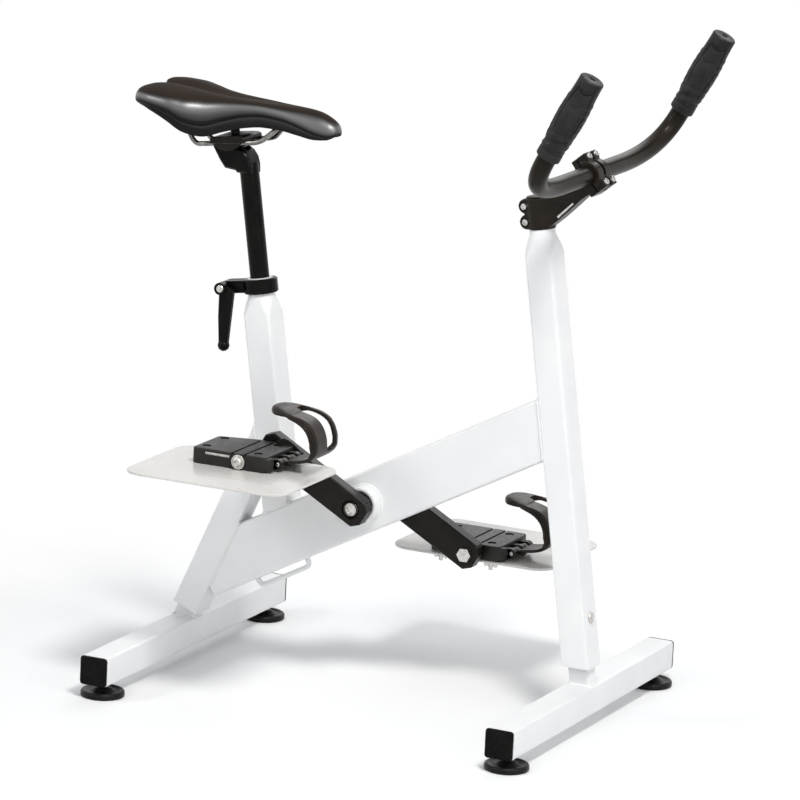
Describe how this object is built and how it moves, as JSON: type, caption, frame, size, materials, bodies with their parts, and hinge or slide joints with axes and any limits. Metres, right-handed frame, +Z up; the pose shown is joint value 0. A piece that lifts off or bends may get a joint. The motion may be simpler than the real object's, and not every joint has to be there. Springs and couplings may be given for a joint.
{
  "type": "aqua bike",
  "caption": "Stationary pool cycle on a free-standing tube frame with an adjustable saddle, turning cranks, plate pedals with toe clips and an upright-grip handlebar.",
  "frame": {"origin": "on the floor, in the middle of the bike's outline seen from above", "axes": "+X towards the handlebar, +Y to the rider's left, +Z up"},
  "size_m": [0.7604, 0.5402, 0.9242],
  "materials": {
    "white_paint": "satin white powder coat",
    "cap_plastic": "fine matt moulding",
    "foot_plastic": "semi-gloss moulding",
    "plate_plastic": "milky translucent sheet with polished edges",
    "moulded_plastic": "fine grain moulding",
    "grip_rubber": "matt, moulded finger relief",
    "saddle_cover": "smooth satin synthetic leather",
    "black_alloy": "black anodised, satin",
    "rail_steel": "dark satin steel wire",
    "stainless": "turned stainless steel"
  },
  "bodies": {
    "frame": {"rear_crossbar": "white_paint", "front_crossbar": "white_paint", "end_cap_rear_right": "cap_plastic", "end_cap_rear_left": "cap_plastic", "end_cap_front_right": "cap_plastic", "end_cap_front_left": "cap_plastic", "front_post": "white_paint", "main_beam": "white_paint", "seat_tube": "white_paint", "rear_leg": "white_paint", "crank_housing": "white_paint", "carry_loop": "white_paint", "post_bolt": "stainless", "leg_bolt": "stainless", "crank_bearing_right": "stainless", "crank_bearing_left": "stainless", "seat_collar": "black_alloy", "lever_bolt": "stainless"},
    "crank": {"crank_axle": "stainless", "crank_right": "black_alloy", "crank_bolt_right": "stainless", "pedal_axle_right": "stainless", "pedal_nut_right": "stainless", "crank_left": "black_alloy", "crank_bolt_left": "stainless", "pedal_axle_left": "stainless", "pedal_nut_left": "stainless"},
    "pedal_right": {"pedal_block_right": "moulded_plastic", "resistance_plate_right": "plate_plastic", "toe_clip_right": "moulded_plastic", "clip_pin_right": "stainless", "plate_bolt_rear_outer_right": "stainless", "plate_bolt_rear_inner_right": "stainless", "plate_bolt_front_outer_right": "stainless", "plate_bolt_front_inner_right": "stainless"},
    "pedal_left": {"pedal_block_left": "moulded_plastic", "resistance_plate_left": "plate_plastic", "toe_clip_left": "moulded_plastic", "clip_pin_left": "stainless", "plate_bolt_rear_outer_left": "stainless", "plate_bolt_rear_inner_left": "stainless", "plate_bolt_front_outer_left": "stainless", "plate_bolt_front_inner_left": "stainless"},
    "seat_post": {"seat_post": "black_alloy"},
    "saddle_carrier": {"rail_cradle": "black_alloy", "rail_clamp": "black_alloy", "clamp_bolt": "stainless"},
    "saddle": {"saddle_rails": "rail_steel", "saddle_shell": "moulded_plastic", "saddle_cushion": "saddle_cover"},
    "clamp_lever": {"clamp_lever": "moulded_plastic"},
    "stem": {"stem": "black_alloy", "stem_faceplate": "black_alloy"},
    "handlebar": {"handlebar": "black_alloy", "grip_right": "grip_rubber", "grip_left": "grip_rubber"},
    "foot_rear_right": {"foot_rear_right": "foot_plastic"},
    "foot_rear_left": {"foot_rear_left": "foot_plastic"},
    "foot_front_right": {"foot_front_right": "foot_plastic"},
    "foot_front_left": {"foot_front_left": "foot_plastic"}
  },
  "joints": [
    {"name": "foot_rear_right_turn", "type": "hinge", "parent": "frame", "child": "foot_rear_right", "pos_m": [-0.29319, -0.24, 0.02], "axis": [0, 0, 1], "range_deg": [-180, 180]},
    {"name": "foot_rear_left_turn", "type": "hinge", "parent": "frame", "child": "foot_rear_left", "pos_m": [-0.29319, 0.24, 0.02], "axis": [0, 0, 1], "range_deg": [-180, 180]},
    {"name": "foot_front_right_turn", "type": "hinge", "parent": "frame", "child": "foot_front_right", "pos_m": [0.30681, -0.24, 0.02], "axis": [0, 0, 1], "range_deg": [-180, 180]},
    {"name": "foot_front_left_turn", "type": "hinge", "parent": "frame", "child": "foot_front_left", "pos_m": [0.30681, 0.24, 0.02], "axis": [0, 0, 1], "range_deg": [-180, 180]},
    {"name": "crank_turn", "type": "hinge", "parent": "frame", "child": "crank", "pos_m": [-0.01919, 0, 0.264], "axis": [0, 1, 0], "continuous": true},
    {"name": "pedal_right_turn", "type": "hinge", "parent": "crank", "child": "pedal_right", "pos_m": [-0.14188, -0.116, 0.33145], "axis": [0, 1, 0], "continuous": true},
    {"name": "pedal_left_turn", "type": "hinge", "parent": "crank", "child": "pedal_left", "pos_m": [0.10349, 0.116, 0.19655], "axis": [0, 1, 0], "continuous": true},
    {"name": "seat_height", "type": "slide", "parent": "frame", "child": "seat_post", "axis": [-0.1541, 0, 0.988], "range_m": [-0.1, 0.06]},
    {"name": "saddle_tilt", "type": "hinge", "parent": "seat_post", "child": "saddle_carrier", "pos_m": [-0.24987, 0, 0.75182], "axis": [0, 1, 0], "range_deg": [-12, 12]},
    {"name": "saddle_fore_aft", "type": "slide", "parent": "saddle_carrier", "child": "saddle", "axis": [0.991, 0, 0.1338], "range_m": [-0.007, 0.015]},
    {"name": "lever_open", "type": "hinge", "parent": "frame", "child": "clamp_lever", "pos_m": [-0.2502, 0, 0.53051], "axis": [0, 1, 0], "range_deg": [0, 120]},
    {"name": "stem_turn", "type": "hinge", "parent": "frame", "child": "stem", "pos_m": [0.21166, 0, 0.66992], "axis": [-0.1541, 0, 0.988], "range_deg": [-30, 30]},
    {"name": "handlebar_tilt", "type": "hinge", "parent": "stem", "child": "handlebar", "pos_m": [0.27927, 0, 0.75166], "axis": [0, 1, 0], "range_deg": [-35, 35]}
  ]
}
